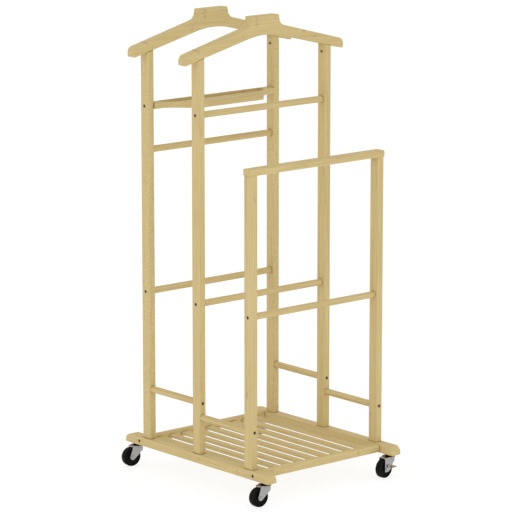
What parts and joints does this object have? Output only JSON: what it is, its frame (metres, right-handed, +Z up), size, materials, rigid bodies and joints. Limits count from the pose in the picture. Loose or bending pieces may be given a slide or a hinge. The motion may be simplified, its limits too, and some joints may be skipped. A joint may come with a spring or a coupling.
{
  "type": "valet stand",
  "caption": "Rolling pine valet stand with shaped coat hangers, trouser bars, a small-things tray and a slatted shoe shelf.",
  "frame": {"origin": "on the floor, under the middle of the stand's overall box", "axes": "+Z up; +X along the coat hangers; the low front frame stands on the -Y side"},
  "size_m": [0.45, 0.483, 1.014],
  "materials": {
    "pine": "clear satin lacquer",
    "dark_screw": "dark bronze satin",
    "zinc_steel": "bright zinc plate",
    "black_wheel": "moulded satin black"
  },
  "bodies": {
    "stand": {"side_rail_left": "pine", "side_rail_right": "pine", "cross_member_front": "pine", "cross_member_back": "pine", "slat_01": "pine", "slat_02": "pine", "slat_03": "pine", "slat_04": "pine", "slat_05": "pine", "slat_06": "pine", "slat_07": "pine", "slat_08": "pine", "slat_09": "pine", "post_back_left": "pine", "post_back_right": "pine", "post_middle_left": "pine", "post_middle_right": "pine", "post_front_left": "pine", "post_front_right": "pine", "coat_hanger_back": "pine", "coat_hanger_middle": "pine", "front_top_rail": "pine", "valet_tray": "pine", "upper_bar_back": "pine", "lower_bar_back": "pine", "upper_bar_middle": "pine", "lower_bar_middle": "pine", "lower_bar_front": "pine", "rung_back_left": "pine", "rung_back_right": "pine", "rung_front_left": "pine", "rung_front_right": "pine", "top_rail_dowels": "pine", "bar_screws": "dark_screw", "rung_screws": "dark_screw", "cross_member_screws": "dark_screw", "hanger_screws": "dark_screw", "tray_screws": "dark_screw", "post_foot_screws": "dark_screw", "caster_front_left_stem": "zinc_steel", "caster_front_right_stem": "zinc_steel", "caster_back_left_stem": "zinc_steel", "caster_back_right_stem": "zinc_steel"},
    "swivel_front_left": {"caster_front_left_fork": "zinc_steel", "caster_front_left_axle": "zinc_steel"},
    "wheel_front_left": {"caster_front_left_wheel": "black_wheel"},
    "swivel_front_right": {"caster_front_right_fork": "zinc_steel", "caster_front_right_axle": "zinc_steel", "brake_rivets_front_right": "zinc_steel"},
    "wheel_front_right": {"caster_front_right_wheel": "black_wheel"},
    "brake_front_right": {"brake_lever_front_right": "zinc_steel"},
    "swivel_back_left": {"caster_back_left_fork": "zinc_steel", "caster_back_left_axle": "zinc_steel"},
    "wheel_back_left": {"caster_back_left_wheel": "black_wheel"},
    "swivel_back_right": {"caster_back_right_fork": "zinc_steel", "caster_back_right_axle": "zinc_steel", "brake_rivets_back_right": "zinc_steel"},
    "wheel_back_right": {"caster_back_right_wheel": "black_wheel"},
    "brake_back_right": {"brake_lever_back_right": "zinc_steel"}
  },
  "joints": [
    {"name": "swivel_front_left_turn", "type": "hinge", "parent": "stand", "child": "swivel_front_left", "pos_m": [-0.18, -0.2175, 0.0465], "axis": [0, 0, 1], "continuous": true},
    {"name": "wheel_front_left_spin", "type": "hinge", "parent": "swivel_front_left", "child": "wheel_front_left", "pos_m": [-0.19596, -0.21638, 0.0213], "axis": [0.0698, 0.9976, 0], "continuous": true},
    {"name": "swivel_front_right_turn", "type": "hinge", "parent": "stand", "child": "swivel_front_right", "pos_m": [0.18, -0.2175, 0.0465], "axis": [0, 0, 1], "continuous": true},
    {"name": "wheel_front_right_spin", "type": "hinge", "parent": "swivel_front_right", "child": "wheel_front_right", "pos_m": [0.16409, -0.21917, 0.0213], "axis": [-0.1045, 0.9945, 0], "continuous": true},
    {"name": "brake_front_right_press", "type": "hinge", "parent": "swivel_front_right", "child": "brake_front_right", "pos_m": [0.16707, -0.21886, 0.0275], "axis": [-0.1045, 0.9945, 0], "range_deg": [0, 12]},
    {"name": "swivel_back_left_turn", "type": "hinge", "parent": "stand", "child": "swivel_back_left", "pos_m": [-0.18, 0.2175, 0.0465], "axis": [0, 0, 1], "continuous": true},
    {"name": "wheel_back_left_spin", "type": "hinge", "parent": "swivel_back_left", "child": "wheel_back_left", "pos_m": [-0.19584, 0.21973, 0.0213], "axis": [0.1392, 0.9903, 0], "continuous": true},
    {"name": "swivel_back_right_turn", "type": "hinge", "parent": "stand", "child": "swivel_back_right", "pos_m": [0.18, 0.2175, 0.0465], "axis": [0, 0, 1], "continuous": true},
    {"name": "wheel_back_right_spin", "type": "hinge", "parent": "swivel_back_right", "child": "wheel_back_right", "pos_m": [0.16402, 0.21666, 0.0213], "axis": [-0.0523, 0.9986, 0], "continuous": true},
    {"name": "brake_back_right_press", "type": "hinge", "parent": "swivel_back_right", "child": "brake_back_right", "pos_m": [0.16702, 0.21682, 0.0275], "axis": [-0.0523, 0.9986, 0], "range_deg": [0, 12]}
  ]
}
